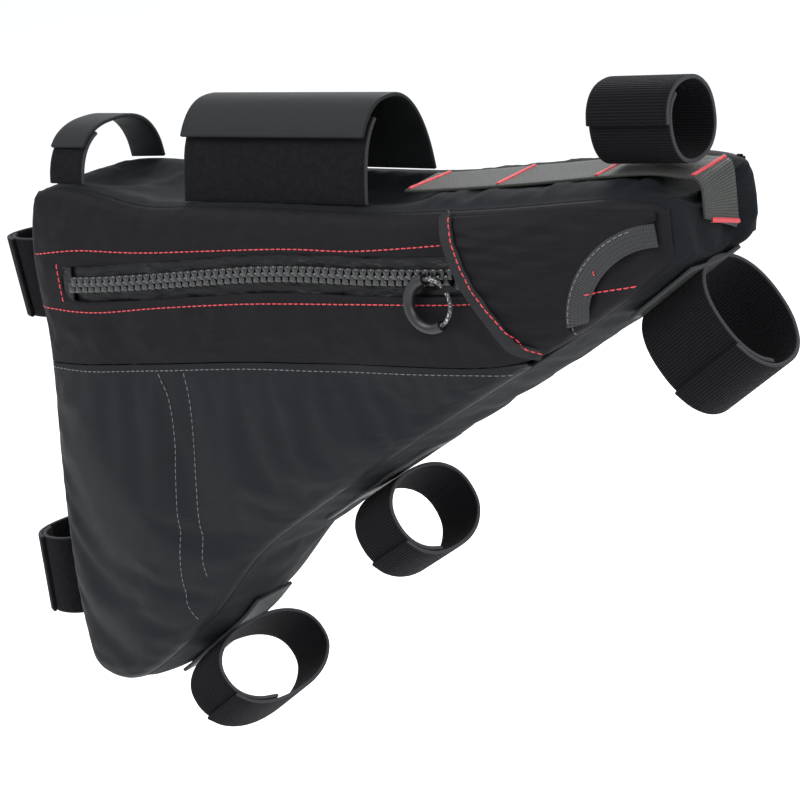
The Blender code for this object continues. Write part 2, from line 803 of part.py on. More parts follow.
cloth("daisy_webbing", daisy_rows(), WEBBING_THICKNESS, "webbing", towards((0.7, 0, 0.7)))

DOWN_STRAPS = (
    ("name", "front", "rear", "across", "out", "width"),
    ("front", 0.992, 0.899, 0.0235, 0.0255, FRONT_STRAP),
    ("middle", 0.557, 0.367, 0.0305, 0.0215, LOWER_STRAP),
    ("lower", 0.222, 0.066, 0.0385, 0.0217, LOWER_STRAP),
)


def rounded(turn, half_across, half_out, square):
    """A point of a loop's section from its middle, turn 0 where it is sewn on: across, out."""
    angle = math.radians(turn)
    s, c = math.sin(angle), math.cos(angle)
    across = math.copysign(abs(s) ** (2 / square), s) * half_across
    out = -math.copysign(abs(c) ** (2 / square), c) * half_out
    return across, out


def rest(kind, place_along, width, clear):
    """Where a strap of this width lies: on the highest spot of the gusset under it."""
    middle, along, outward = gusset_point(kind, place_along, 0, 0)
    edge = SEAM_WIDTH / 3
    across = (gusset_point(kind, place_along, edge, 0)[0]
              - gusset_point(kind, place_along, -edge, 0)[0]).normalized()
    outward = (outward - across * outward.dot(across)).normalized()
    spots = [gusset_point(kind, place_along + width * k, 0, 0)[0] for k in spread(-0.5, 0.5, 4)]
    highest = max((spot - middle).dot(outward) for spot in spots)
    return middle + outward * (highest + clear), along, across, outward


def loop(name, base, along, sideways, outward, half_across, half_out, width, seam_at, slot, lap=50):
    """A strap closed on itself: its outer end laps over its inner one past the seam."""
    rows = []
    layer = STRAP_THICKNESS + LAY_GAP
    centre = base + outward * (half_out - layer)
    for turn in spread(seam_at, seam_at + 360 + lap, STRAP_SEGMENTS):
        climb = min(max((turn - seam_at - 360 + 70) / 70, 0), 1)
        grow = layer * (climb - 1)
        across, out = rounded(turn, half_across + grow, half_out + grow, 2.25)
        middle = centre + outward * out + sideways * across
        rows.append([middle + along * width * k for k in (-0.5, 0.5)])
    return cloth(name, rows, STRAP_THICKNESS, slot, lambda at: at - centre)


for row in DOWN_STRAPS[1:]:
    strap = dict(zip(DOWN_STRAPS[0], row))
    ends = strap["front"] * TOP_LENGTH, strap["rear"] * TOP_LENGTH
    strip("down_tube_strip_" + strap["name"], "down", ends[1], ends[0], strap["width"],
          STRIP_THICKNESS, "webbing", 6)
    seat = rest("down", (ends[0] + ends[1]) / 2, ends[0] - ends[1],
                STRIP_THICKNESS + 3 * LAY_GAP)
    loop("down_tube_strap_" + strap["name"], *seat, strap["across"], strap["out"],
         strap["width"], 200, "loop_strap")

SEAT_STRAPS = (
    ("name", "down", "across", "out"),
    ("upper", 0.204, 0.0165, 0.0172),
    ("lower", 0.806, 0.0245, 0.0185),
)
for row in SEAT_STRAPS[1:]:
    strap = dict(zip(SEAT_STRAPS[0], row))
    seat = rest("rear", -strap["down"] * REAR_HEIGHT, SEAT_STRAP, 2 * LAY_GAP)
    loop("seat_tube_strap_" + strap["name"], *seat, strap["across"], strap["out"], SEAT_STRAP,
         200, "loop_strap")

FRONT_STRAP_X = 0.936 * TOP_LENGTH
seat = rest("top", FRONT_STRAP_X, FRONT_STRAP, WEBBING_THICKNESS + 3 * LAY_GAP)
loop("top_front_strap", *seat, 0.0195, 0.0188, FRONT_STRAP, -150, "loop_strap")


# Arched top straps: a leg of loop cloth on the right, and a hook strap over it from the left
def arch(name, x, width, half_across, height, shift, start, end, inset, slot):
    middle = gusset_point("top", x, 0, 0)[0]
    rows = []
    cells = max(2, round(width / 0.02))
    for turn in spread(start, end, 16 if cells > 2 else 12):
        s, c = math.sin(math.radians(turn)), math.cos(math.radians(turn))
        y = shift - math.copysign(abs(c) ** 0.8, c) * (half_across - inset)
        rise = abs(s) ** 0.8 * (height - inset)
        row = []
        for k in spread(-0.5, 0.5, cells):
            at = x + width * k
            foot = gusset_point("top", at, max(min(y, 0.028), -0.028), 0)[0]
            blend = min(rise / 0.02, 1)
            z = foot.z * (1 - blend) + middle.z * blend + rise
            row.append(Vector((at, y, z + 3 * LAY_GAP)))
        rows.append(row)
    centre = middle + Vector((0, shift, height / 2))
    return cloth(name, rows, STRAP_THICKNESS, slot, lambda at: at - centre)


TOP_STRAPS = (
    ("name", "along", "width", "half_across", "height", "shift"),
    ("rear", 0.040, NARROW_STRAP, 0.0285, 0.0255, -0.0010),
    ("wide", 0.392, WIDE_STRAP, 0.0265, 0.0390, -0.0020),
)
LAYER = STRAP_THICKNESS + LAY_GAP * 2
for row in TOP_STRAPS[1:]:
    top = dict(zip(TOP_STRAPS[0], row))
    size = (top["along"] * TOP_LENGTH, top["width"], top["half_across"], top["height"])
    arch("top_" + top["name"] + "_strap", *size, top["shift"], 34, 180, 0, "hook_strap")
    arch("top_" + top["name"] + "_leg", *size, top["shift"], 0, 62, LAYER, "loop_strap")
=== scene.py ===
"""Looks of a bicycle frame bag: coated nylon panels, a moulded zip, and hook and loop straps.

The bag hangs by its top straps. +X runs forward, its right side with the zip faces -Y.
Lengths are in metres. A place on the bag's side is given in mm from its top rear corner.
"""

import math

import bmesh
import bpy
from mathutils import Matrix, Vector, noise
from mathutils.bvhtree import BVHTree
from mathutils.kdtree import KDTree


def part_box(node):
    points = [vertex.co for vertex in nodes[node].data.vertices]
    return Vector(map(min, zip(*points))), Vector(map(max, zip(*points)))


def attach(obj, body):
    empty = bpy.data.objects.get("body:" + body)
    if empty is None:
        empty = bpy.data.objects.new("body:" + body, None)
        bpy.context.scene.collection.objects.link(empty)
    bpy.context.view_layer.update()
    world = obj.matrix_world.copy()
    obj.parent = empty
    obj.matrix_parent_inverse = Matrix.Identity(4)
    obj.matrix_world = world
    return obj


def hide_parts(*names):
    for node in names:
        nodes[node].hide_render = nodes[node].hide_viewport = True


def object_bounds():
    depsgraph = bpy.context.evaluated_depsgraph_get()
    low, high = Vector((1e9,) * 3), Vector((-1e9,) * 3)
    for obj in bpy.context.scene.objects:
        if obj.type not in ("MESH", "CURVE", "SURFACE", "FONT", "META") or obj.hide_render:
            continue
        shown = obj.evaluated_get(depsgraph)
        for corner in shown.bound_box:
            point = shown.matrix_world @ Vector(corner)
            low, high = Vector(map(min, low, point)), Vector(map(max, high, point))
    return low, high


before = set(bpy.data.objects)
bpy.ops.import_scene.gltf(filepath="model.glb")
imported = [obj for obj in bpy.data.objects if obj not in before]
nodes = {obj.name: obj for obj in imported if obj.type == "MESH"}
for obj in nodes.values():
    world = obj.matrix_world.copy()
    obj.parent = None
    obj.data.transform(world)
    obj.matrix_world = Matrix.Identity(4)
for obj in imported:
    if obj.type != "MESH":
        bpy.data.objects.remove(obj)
cad_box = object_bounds()


# Camera: off the bag's right side and a little behind its middle, looking slightly down. It is
# tilted so that the bag's top edge runs level across the picture.
azimuth, elevation, tilt = (math.radians(angle) for angle in (38, 15, 7.23))
level = Vector((math.cos(azimuth), math.sin(azimuth), 0))
back = Vector((math.sin(azimuth) * math.cos(elevation),
               -math.cos(azimuth) * math.cos(elevation), math.sin(elevation)))
upright = back.cross(level)
right = level * math.cos(tilt) - upright * math.sin(tilt)
above = level * math.sin(tilt) + upright * math.cos(tilt)
looked_at = Vector((0.0137, 0, -0.1244))
distance = 1.300
camera = bpy.data.objects.new("camera", bpy.data.cameras.new("camera"))
camera.matrix_world = Matrix((right, above, back)).transposed().to_4x4()
camera.location = looked_at + back * distance
camera.data.lens = 134.6
camera.data.clip_start = 0.05
bpy.context.collection.objects.link(camera)
bpy.context.scene.camera = camera
bpy.context.scene.view_settings.view_transform = "Standard"


# Studio: a pale seamless floor well below the hung bag, a large soft light over its right
# shoulder, and two weaker ones that draw the edges of the straps and the nose.
class Shade:
    """One output in a material's node tree: operators on it add Math nodes."""

    def __init__(self, socket):
        self.socket = socket

    def node(self, kind, settings=None, inputs=None, output=0):
        """Adds a node: its settings first, then the values or links of its sockets."""
        tree = self.socket.id_data
        node = tree.nodes.new("ShaderNode" + kind)
        for key, value in (settings or {}).items():
            setattr(node, key, value)
        for key, value in (inputs or {}).items():
            if isinstance(value, Shade):
                tree.links.new(value.socket, node.inputs[key])
            else:
                node.inputs[key].default_value = value
        return Shade(node.outputs[output])

    def maths(self, operation, *others):
        return self.node("Math", {"operation": operation}, dict(enumerate((self, *others))))

    def __add__(self, other):
        return self.maths("ADD", other)

    def __sub__(self, other):
        return self.maths("SUBTRACT", other)

    def __mul__(self, other):
        return self.maths("MULTIPLY", other)

    def __pow__(self, other):
        return self.maths("POWER", other)

    def __rsub__(self, other):
        return self.node("Math", {"operation": "SUBTRACT"}, {0: other, 1: self})

    def sine(self):
        return self.maths("SINE")

    def size(self):
        return self.maths("ABSOLUTE")

    def within(self, low, high):
        """0 at low and 1 at high, held there beyond them."""
        return self.node("MapRange", {}, {"Value": self, "From Min": low, "From Max": high})

    def axes(self):
        return [self.node("SeparateXYZ", {}, {0: self}, i) for i in range(3)]

    def speckle(self, scale, detail=2):
        return self.node("TexNoise", {}, {"Vector": self, "Scale": scale, "Detail": detail})

    def stretched(self, factors):
        return self.node("VectorMath", {"operation": "MULTIPLY"}, {0: self, 1: factors})

    def blend(self, dark, pale):
        """A colour between two, by this value."""
        return self.node("Mix", {"data_type": "RGBA"}, {0: self, 6: dark, 7: pale}, 2)

    def relief(self, strength, depth):
        """A normal from this height, which runs from 0 to 1 over depth metres."""
        return self.node("Bump", {}, {"Height": self, "Strength": strength, "Distance": depth})


class Finish:
    """A material, its Principled shader's constants set, with its coordinates to hand."""

    def __init__(self, name, colour, roughness, constants=None):
        self.material = bpy.data.materials.new(name)
        self.material.use_nodes = True
        self.tree = self.material.node_tree
        self.shader = self.tree.nodes["Principled BSDF"]
        self.shader.inputs["Base Color"].default_value = (*colour, 1)
        self.shader.inputs["Roughness"].default_value = roughness
        for socket, value in (constants or {}).items():
            self.shader.inputs[socket].default_value = value
        coordinates = self.tree.nodes.new("ShaderNodeTexCoord")
        self.place = Shade(coordinates.outputs["Object"])
        self.uv = Shade(coordinates.outputs["UV"])

    def feed(self, socket, shade):
        self.tree.links.new(shade.socket, self.shader.inputs[socket])

    def on(self, piece):
        piece.data.materials.clear()
        piece.data.materials.append(self.material)


floor_drop = 0.55
floor_size = 40
floor_mesh = bpy.data.meshes.new("floor")
floor_mesh.from_pydata([(x, y, -floor_drop) for x in (-floor_size, floor_size)
                        for y in (-floor_size, floor_size)], [], [(0, 2, 3, 1)])
floor = bpy.data.objects.new("floor", floor_mesh)
bpy.context.collection.objects.link(floor)
paper = Finish("seamless paper", (0.98, 0.98, 0.98), 0.9, {"Specular IOR Level": 0.0})
paper.feed("Roughness", paper.place.speckle(3).within(-1, 2) * 0.1 + 0.85)
paper.on(floor)

world = bpy.data.worlds.new("studio")
world.use_nodes = True
world.node_tree.nodes["Background"].inputs["Color"].default_value = (0.94, 0.97, 1.0, 1)
world.node_tree.nodes["Background"].inputs["Strength"].default_value = 1.05
bpy.context.scene.world = world
for name, place, size, power in (("key light", (-0.5, -1.3, 1.5), 1.2, 36),
                                 ("front light", (1.6, -0.7, 0.7), 0.9, 20),
                                 ("left light", (-0.3, 1.5, 1.0), 1.0, 26)):
    light = bpy.data.objects.new(name, bpy.data.lights.new(name, "AREA"))
    light.data.size = size
    light.data.energy = power
    light.location = place
    light.rotation_euler = (looked_at - light.location).to_track_quat("-Z", "Y").to_euler()
    bpy.context.collection.objects.link(light)


# Body: two side panels and four gussets of coated nylon, sewn edge to edge and turned inside
# out. Each is cut a little full, so between its seams the cloth swells and wrinkles.
cloth_thickness = 0.0015
corner = Vector((-0.150, 0, -0.024))    # top rear corner of the bag
sew_reach = 0.012                       # the seams hold the cloth still over this distance


def skin_of(node, away, fold=0.9):
    """The outer face of a cloth node as an open mesh of quads, without its back and rims."""
    skin = bmesh.new()
    skin.from_mesh(nodes[node].data)
    bmesh.ops.remove_doubles(skin, verts=skin.verts[:], dist=0.00002)
    bmesh.ops.join_triangles(skin, faces=skin.faces[:], angle_face_threshold=fold,
                             angle_shape_threshold=math.pi)
    skin.normal_update()
    facing = [f for f in skin.faces if f.normal.dot(away) > 0.6]
    start = max(facing, key=lambda face: face.calc_center_median().dot(away))
    kept, waiting = {start}, [start]
    while waiting:
        for edge in waiting.pop().edges:
            for face in edge.link_faces:
                if face not in kept and edge.calc_face_angle(4) < fold:
                    kept.add(face)
                    waiting.append(face)
    bmesh.ops.delete(skin, geom=[f for f in skin.faces if f not in kept], context="FACES")
    return skin


def new_piece(name, shape):
    """An object of this mesh or skin, smooth shaded and linked into the scene."""
    mesh = shape
    if isinstance(shape, bmesh.types.BMesh):
        mesh = bpy.data.meshes.new(name)
        shape.to_mesh(mesh)
        shape.free()
    mesh.shade_smooth()
    piece = bpy.data.objects.new(name, mesh)
    bpy.context.collection.objects.link(piece)
    return piece


def apply(piece, kind, **settings):
    """Adds a modifier with these settings and leaves its result as the piece's mesh."""
    modifier = piece.modifiers.new(kind.lower(), kind)
    for key, value in settings.items():
        setattr(modifier, key, value)
    bpy.context.view_layer.update()
    shaped = piece.evaluated_get(bpy.context.evaluated_depsgraph_get())
    mesh = bpy.data.meshes.new_from_object(shaped)
    piece.modifiers.clear()
    piece.data = mesh


def rim_of(piece):
    """The places of the vertices along a piece's open edges."""
    shape = bmesh.new()
    shape.from_mesh(piece.data)
    rim = [v.co.copy() for v in shape.verts if v.is_boundary]
    shape.free()
    return rim


def nearest_of(points):
    """A tree that finds the nearest of these points."""
    tree = KDTree(len(points))
    for index, point in enumerate(points):
        tree.insert(point, index)
    tree.balance()
    return tree


def seam_distance(piece):
    """How far each vertex is from the nearest open edge."""
    tree = nearest_of(rim_of(piece))
    return [tree.find(v.co)[2] for v in piece.data.vertices]


def billow(piece, fullness, pressure, frames=24, cap=0.006):
    """Lets a skin held at its seams swell and wrinkle, as cloth cut fuller than its outline."""
    held = piece.vertex_groups.new(name="sewn")
    before = [v.co.copy() for v in piece.data.vertices]
    for index, gap in enumerate(seam_distance(piece)):
        held.add([index], max(0.0, 1 - gap / sew_reach), "REPLACE")
    cloth = piece.modifiers.new("cloth", "CLOTH")
    fabric = cloth.settings
    fabric.quality = 6
    fabric.mass = 0.15
    fabric.tension_stiffness = fabric.compression_stiffness = 18
    fabric.shear_stiffness = 8
    fabric.bending_stiffness = 0.9
    fabric.vertex_group_mass = "sewn"
    fabric.shrink_min = -fullness
    fabric.use_pressure = True
    fabric.uniform_pressure_force = pressure
    fabric.effector_weights.gravity = 0.35
    cloth.collision_settings.use_collision = False
    scene = bpy.context.scene
    for at in range(1, frames + 1):
        scene.frame_set(at)
    shaped = piece.evaluated_get(bpy.context.evaluated_depsgraph_get())
    moved = [v.co.copy() for v in shaped.data.vertices]
    piece.modifiers.clear()
    for vertex, old, new in zip(piece.data.vertices, before, moved):
        step = new - old
        vertex.co = old + step * min(1, cap / max(step.length, 1e-9))
    scene.frame_set(1)


def nylon(name, colour, streak, roughness, along, across, pitch, sheen):
    """Woven nylon: threads at a pitch along two directions, slubs, and a soft sheen."""
    finish = Finish(name, colour, roughness, {"Sheen Weight": sheen, "Sheen Roughness": 0.45,
                                              "Specular IOR Level": 0.10})
    turns = 2 * math.pi / pitch
    threads = [finish.place.node("VectorMath", {"operation": "DOT_PRODUCT"},
                                 {0: finish.place, 1: direction}, 1)
               for direction in (along, across)]
    warp, weft = ((thread * turns).sine() for thread in threads)
    over = warp * weft * 0.5 + 0.5
    slub = finish.place.stretched((90, 90, 900)).speckle(1.0, 3)
    slub_along = finish.place.stretched((900, 300, 110)).speckle(1.0, 3)
    crinkle = finish.place.speckle(160, 4)
    cloud = finish.place.speckle(28, 3)
    shade = (slub * 0.5 + slub_along * 0.3 + cloud * 0.35 + over * 0.15 - 0.15).within(0.1, 0.85)
    finish.feed("Base Color", shade.blend((*colour, 1), (*streak, 1)))
    finish.feed("Roughness", (crinkle * 0.16 + over * 0.06) + (roughness - 0.1))
    height = over * 0.45 + slub * 0.3 + crinkle * 0.5
    finish.feed("Normal", height.relief(0.55, pitch * 0.35))
    return finish


right_side, left_side = Vector((0, -1, 0)), Vector((0, 1, 0))
slope = Vector((0.80, 0, 0.60))
upper_nylon = nylon("upper nylon", (0.0015, 0.0012, 0.0018), (0.0066, 0.0058, 0.0078), 0.60,
                    (1, 0, 0), (0, 0, 1), 0.0009, 0.01)
panel_nylon = nylon("panel nylon", (0.0030, 0.0035, 0.0044), (0.0078, 0.0090, 0.0112), 0.50,
                    (1, 0, 0), (0, 0, 1), 0.0005, 0.01)
gusset_nylon = nylon("gusset nylon", (0.0026, 0.0033, 0.0042), (0.0068, 0.0082, 0.0104), 0.78,
                     slope, (0, 1, 0), 0.0005, 0.01)
gusset_nodes = (("top_gusset", Vector((0, 0, 1))), ("nose_gusset", Vector((1, 0, 0))),
                ("down_tube_gusset", Vector((0.6, 0, -0.8))))
body_pieces = (
    # name, the nodes it stands for, finish, slot, fullness, pressure
    ("long_gusset", gusset_nodes, gusset_nylon, "gusset_cloth", 0.016, 0.7),
    ("seat_tube_cloth", (("seat_tube_gusset", Vector((-1, 0, 0))),), gusset_nylon,
     "gusset_cloth", 0.014, 0.5),
    ("right_band", (("right_zip_band", right_side),), upper_nylon, "band_cloth", 0.012, 1.0),
    ("right_panel", (("right_lower_panel", right_side),), panel_nylon, "panel_cloth",
     0.014, 1.6),
    ("left_side_panel", (("left_panel", left_side),), panel_nylon, "panel_cloth", 0.012, 1.6),
)
sewn_gap = 0.0036       # widest gap between two gussets that are one strip of cloth
sewn_reach = 0.007      # a panel's edge is drawn to a gusset's edge from no further than this
nose_back = 0.150       # the nose begins here and is full after a run of
nose_run = 0.032
nose_puff = 0.008       # how far the cloth stands out on the left side
right_share = 0.2       # and the share of it on the right
webbing_half, gusset_half = 0.0125, 0.030


def puff_nose(point):
    """At the nose the cloth stands out between the webbing down its middle and the seams."""
    beside = (abs(point.y) - webbing_half) / (gusset_half - webbing_half)
    if point.x > nose_back and 0 < beside < 1:
        onset = min(1, (point.x - nose_back) / nose_run)
        share = 1 if point.y > 0 else right_share
        point.x += nose_puff * share * onset ** 2 * math.sin(math.pi * beside)


def sew(piece, seams):
    """Draws a panel's edge onto the gussets' edges, and the cloth beside it part of the way."""
    rim = [point for point in rim_of(piece) if seams.find(point)[2] < sewn_reach]
    steps = []
    for point in rim:
        place, _, gap = seams.find(point)
        steps.append((place - point) * (1 - (gap / sewn_reach) ** 2))
    tree = nearest_of(rim)
    for vertex in piece.data.vertices:
        _, nearest, gap = tree.find(vertex.co)
        if gap < sew_reach:
            vertex.co = vertex.co + steps[nearest] * (1 - gap / sew_reach) ** 2


body = {}
gusset_rims = []
for name, stood_for, finish, slot, fullness, pressure in body_pieces:
    skin = skin_of(*stood_for[0])
    for node, facing in stood_for[1:]:
        added = skin_of(node, facing)
        mesh = bpy.data.meshes.new(node)
        added.to_mesh(mesh)
        added.free()
        skin.from_mesh(mesh)
    rim = [v for v in skin.verts if v.is_boundary]
    if len(stood_for) > 1:
        bmesh.ops.remove_doubles(skin, verts=rim, dist=sewn_gap)
    piece = new_piece(name, skin)
    apply(piece, "SUBSURF", levels=2, render_levels=2, boundary_smooth="PRESERVE_CORNERS")
    billow(piece, fullness, pressure)
    apply(piece, "SUBSURF", levels=1, render_levels=1, boundary_smooth="PRESERVE_CORNERS")
    if slot == "gusset_cloth":
        for vertex in piece.data.vertices:
            puff_nose(vertex.co)
        gusset_rims += rim_of(piece)
    elif name == "left_side_panel":
        sew(piece, nearest_of(gusset_rims))
    apply(piece, "SOLIDIFY", thickness=cloth_thickness, offset=-1)
    piece.data.shade_smooth()
    finish.on(piece)
    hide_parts(*(node for node, facing in stood_for))
    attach(piece, "root")
    body[name] = piece


# Straps and webbing: each is a woven tape, cut to length and sewn on across the bag. The loops
# are hook and loop tape closed on themselves, with a paler woven edge along both sides.
def sides_of(node, away):
    """The four sides of a tape's outer face, each a run of points between two corners."""
    skin = skin_of(node, away)
    start = next(v for v in skin.verts if v.is_boundary)
    rim, edge = [start], None
    while edge is None or rim[-1] is not start:
        edge = next(e for e in rim[-1].link_edges if e.is_boundary and e is not edge)
        rim.append(edge.other_vert(rim[-1]))
    rim = [v.co.copy() for v in rim[:-1]]
    skin.free()
    count = len(rim)
    bends = [(rim[i] - rim[i - 1]).angle(rim[(i + 1) % count] - rim[i]) for i in range(count)]
    ends = sorted(sorted(range(count), key=lambda i: -bends[i])[:4])
    return [[rim[i % count] for i in range(a, b + 1)]
            for a, b in zip(ends, ends[1:] + [ends[0] + count])]


def rails_of(node, away):
    """The two long edges of a tape's outer face, as pairs of points from end to end."""
    sides = sides_of(node, away)
    first = max((0, 1), key=lambda k: len(sides[k]) + len(sides[k + 2]))
    return [list(pair) for pair in zip(sides[first], reversed(sides[first + 2]))]


def smooth(points, count):
    """count points at even steps along a smooth curve through these."""
    if len(points) == 2:
        return [points[0].lerp(points[1], i / (count - 1)) for i in range(count)]
    made = []
    for i in range(count):
        at = i / (count - 1) * (len(points) - 1)
        k = min(int(at), len(points) - 2)
        t = at - k
        p1, p2 = points[k], points[k + 1]
        p0 = points[k - 1] if k else p1 * 2 - p2
        p3 = points[k + 2] if k + 2 < len(points) else p2 * 2 - p1
        made.append((p1 * 2 + (p2 - p0) * t + (p0 * 2 - p1 * 5 + p2 * 4 - p3) * t * t
                     + (p1 * 3 - p0 - p2 * 3 + p3) * t ** 3) / 2)
    return made


def refine(rows, along, across):
    """The same surface as a finer grid of rows and columns."""
    columns = zip(*(smooth(row, across) for row in rows))
    return [list(row) for row in zip(*(smooth(list(column), along) for column in columns))]


def tape(name, rows, thickness, finish, replaced):
    """A woven tape over rows of points, its UV in metres along and across it."""
    mesh = bpy.data.meshes.new(name)
    width = len(rows[0])
    faces = [(i * width + j, i * width + j + 1, (i + 1) * width + j + 1, (i + 1) * width + j)
             for i in range(len(rows) - 1) for j in range(width - 1)]
    mesh.from_pydata([p for row in rows for p in row], [], faces)
    lengths, widths = [0.0], [0.0]
    middle = width // 2
    for a, b in zip(rows, rows[1:]):
        lengths.append(lengths[-1] + (b[middle] - a[middle]).length)
    for a, b in zip(rows[0], rows[0][1:]):
        widths.append(widths[-1] + (b - a).length)
    layer = mesh.uv_layers.new(name="UVMap")
    for loop in mesh.loops:
        i, j = divmod(loop.vertex_index, width)
        layer.data[loop.index].uv = (lengths[i], widths[j])
    piece = new_piece(name, mesh)
    apply(piece, "SOLIDIFY", thickness=thickness, offset=-1, use_even_offset=True)
    piece.data.shade_smooth()
    bevel = piece.modifiers.new("rounded edge", "BEVEL")
    bevel.width = thickness * 0.3
    bevel.segments = 2
    bevel.limit_method = "ANGLE"
    bevel.angle_limit = math.radians(50)
    finish.on(piece)
    if replaced:
        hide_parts(*replaced)
    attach(piece, "root")
    return piece


def edge_mask(finish, width, edge):
    """Places along and across a tape, and 0 over its middle rising to 1 in its woven edges."""
    along, across, _ = finish.uv.axes()
    return along, across, (across - width / 2).size().within(width / 2 - edge, width / 2)


def loop_tape(name, width, pile):
    """Loop tape: ribs of ground weave under a soft pile, and a flat paler edge."""
    finish = Finish(name, (0.004, 0.004, 0.005), 0.85, {"Sheen Weight": 0.02,
                                                       "Sheen Roughness": 0.55,
                                                       "Specular IOR Level": 0.05})
    along, across, edge = edge_mask(finish, width, 0.0012)
    ribs = (along * (2 * math.pi / 0.0013)).sine() * 0.5 + 0.5
    cords = (across * (2 * math.pi / 0.0011)).sine() * 0.5 + 0.5
    ground = (ribs * 0.65 + cords * 0.35) ** 1.3
    fuzz = finish.place.speckle(900, 6)
    tufts = finish.place.speckle(420, 5)
    height = ground * (1 - pile) + (fuzz * 0.6 + tufts * 0.6) * pile
    # The face is painted paler where the ribs and pile stand high and darker in their hollows:
    # painted shade and painted highlight on the weave.
    light = (height - 0.25).within(0.1, 0.75)
    face = light.blend((0.0014, 0.0014, 0.0019, 1), (0.0090, 0.0088, 0.0110, 1))
    finish.feed("Base Color", edge.node("Mix", {"data_type": "RGBA"},
                                        {0: edge ** 2, 6: face, 7: (0.034, 0.034, 0.037, 1)}, 2))
    finish.feed("Roughness", fuzz * 0.2 + 0.72)
    finish.feed("Normal", (height * (1 - edge * 0.7)).relief(0.9, 0.0006))
    return finish


def webbing(name, width, tone):
    """Flat polyester webbing: close ribs across it, a herringbone of cords, a corded edge."""
    finish = Finish(name, tone, 0.55, {"Sheen Weight": 0.03, "Specular IOR Level": 0.2})
    along, across, edge = edge_mask(finish, width, 0.0016)
    ribs = (along * (2 * math.pi / 0.0011)).sine() * 0.5 + 0.5
    cords = (across * (2 * math.pi / 0.0016) + ribs * 1.2).sine() * 0.5 + 0.5
    wear = finish.place.speckle(60, 4)
    height = ribs * 0.7 + cords * 0.3
    # The colour follows the ribs and cords: their tops painted pale and their grooves dark, as
    # painted shade on the weave, mixed with a random mottle of wear.
    light = (height * 0.7 + wear * 0.5 - 0.1).within(0.1, 0.95)
    pale = tuple(c * 2.6 for c in tone)
    dark = tuple(c * 0.45 for c in tone)
    finish.feed("Base Color", light.blend((*dark, 1), (*pale, 1)))
    finish.feed("Roughness", wear * 0.2 + 0.45)
    finish.feed("Normal", (height + edge * 0.5).relief(0.7, 0.0004))
    return finish


def hook_tape(name, width):
    """Hook tape seen from its back: a smooth close twill with a bound edge."""
    finish = Finish(name, (0.010, 0.011, 0.012), 0.55, {"Sheen Weight": 0.01,
                                                       "Specular IOR Level": 0.12})
    along, across, edge = edge_mask(finish, width, 0.0030)
    twill = ((along + across * 0.6) * (2 * math.pi / 0.0009)).sine() * 0.5 + 0.5
    wear = finish.place.speckle(45, 4)
    rub = finish.place.speckle(1300, 3)
    # The twill's ridges are painted paler than its furrows, as painted shade on the weave, mixed
    # with random mottles of wear and rubbing.
    light = (twill * 0.3 + wear * 0.5 + rub * 0.3).within(0.25, 0.85)
    dark, pale = (0.0048, 0.0053, 0.0058, 1), (0.0135, 0.0145, 0.0152, 1)
    finish.feed("Base Color", light.blend(dark, pale))
    finish.feed("Roughness", wear * 0.25 + 0.42)
    finish.feed("Normal", (twill * 0.5 + rub * 0.4 + edge * 0.4).relief(0.5, 0.0003))
    return finish


strap_thickness = 0.0018
up, down, behind = Vector((0, 0, 1)), Vector((0, 0, -1)), Vector((-1, 0, 0))
ribbed_38 = loop_tape("ribbed loop tape, broad", 0.038, 0.25)
ribbed_25 = loop_tape("ribbed loop tape, narrow", 0.025, 0.25)
fuzzy_38 = loop_tape("fuzzy loop tape, broad", 0.038, 0.8)
fuzzy_100 = loop_tape("fuzzy loop tape, widest", 0.100, 0.85)
fuzzy_20 = loop_tape("fuzzy loop tape, slim", 0.020, 0.85)
hook_100, hook_20 = hook_tape("hook tape, widest", 0.100), hook_tape("hook tape, slim", 0.020)
straps = (
    # name, node, a direction its outer face looks in, fine rows and columns, finish, slot
    ("front_top_loop", "top_front_strap", up, (96, 9), ribbed_38, "loop_strap"),
    ("front_down_tube_loop", "down_tube_strap_front", down, (96, 9), ribbed_38, "loop_strap"),
    ("middle_down_tube_loop", "down_tube_strap_middle", down, (96, 7), ribbed_25, "loop_strap"),
    ("lower_down_tube_loop", "down_tube_strap_lower", down, (96, 7), ribbed_25, "loop_strap"),
    ("upper_seat_tube_loop", "seat_tube_strap_upper", behind, (96, 9), fuzzy_38, "loop_strap"),
    ("lower_seat_tube_loop", "seat_tube_strap_lower", behind, (96, 9), fuzzy_38, "loop_strap"),
    ("rear_top_leg", "top_rear_leg", right_side, (40, 7), fuzzy_20, "loop_strap"),
    ("rear_top_hook_strap", "top_rear_strap", up, (72, 7), hook_20, "hook_strap"),
    ("wide_top_leg", "top_wide_leg", right_side, (40, 25), fuzzy_100, "loop_strap"),
    ("wide_top_hook_strap", "top_wide_strap", up, (72, 25), hook_100, "hook_strap"),
)
# The two arched straps are drawn down to a share of their height and in by a share of their width.
arch_pull = {"rear_top": (0.83, 0.16), "wide_top": (0.92, 0.22)}
for name, node, away, fine, finish, slot in straps:
    rows = refine(rails_of(node, away), *fine)
    lower, narrow = arch_pull.get(name[:8], (1, 0))
    foot = min(point.z for row in rows for point in row)
    rise = cad_box[1].z - foot
    for point in (p for row in rows for p in row):
        point.y *= 1 - narrow * (point.z - foot) / rise
        point.z = foot + (point.z - foot) * lower
    tape(name, rows, strap_thickness, finish, (node,))

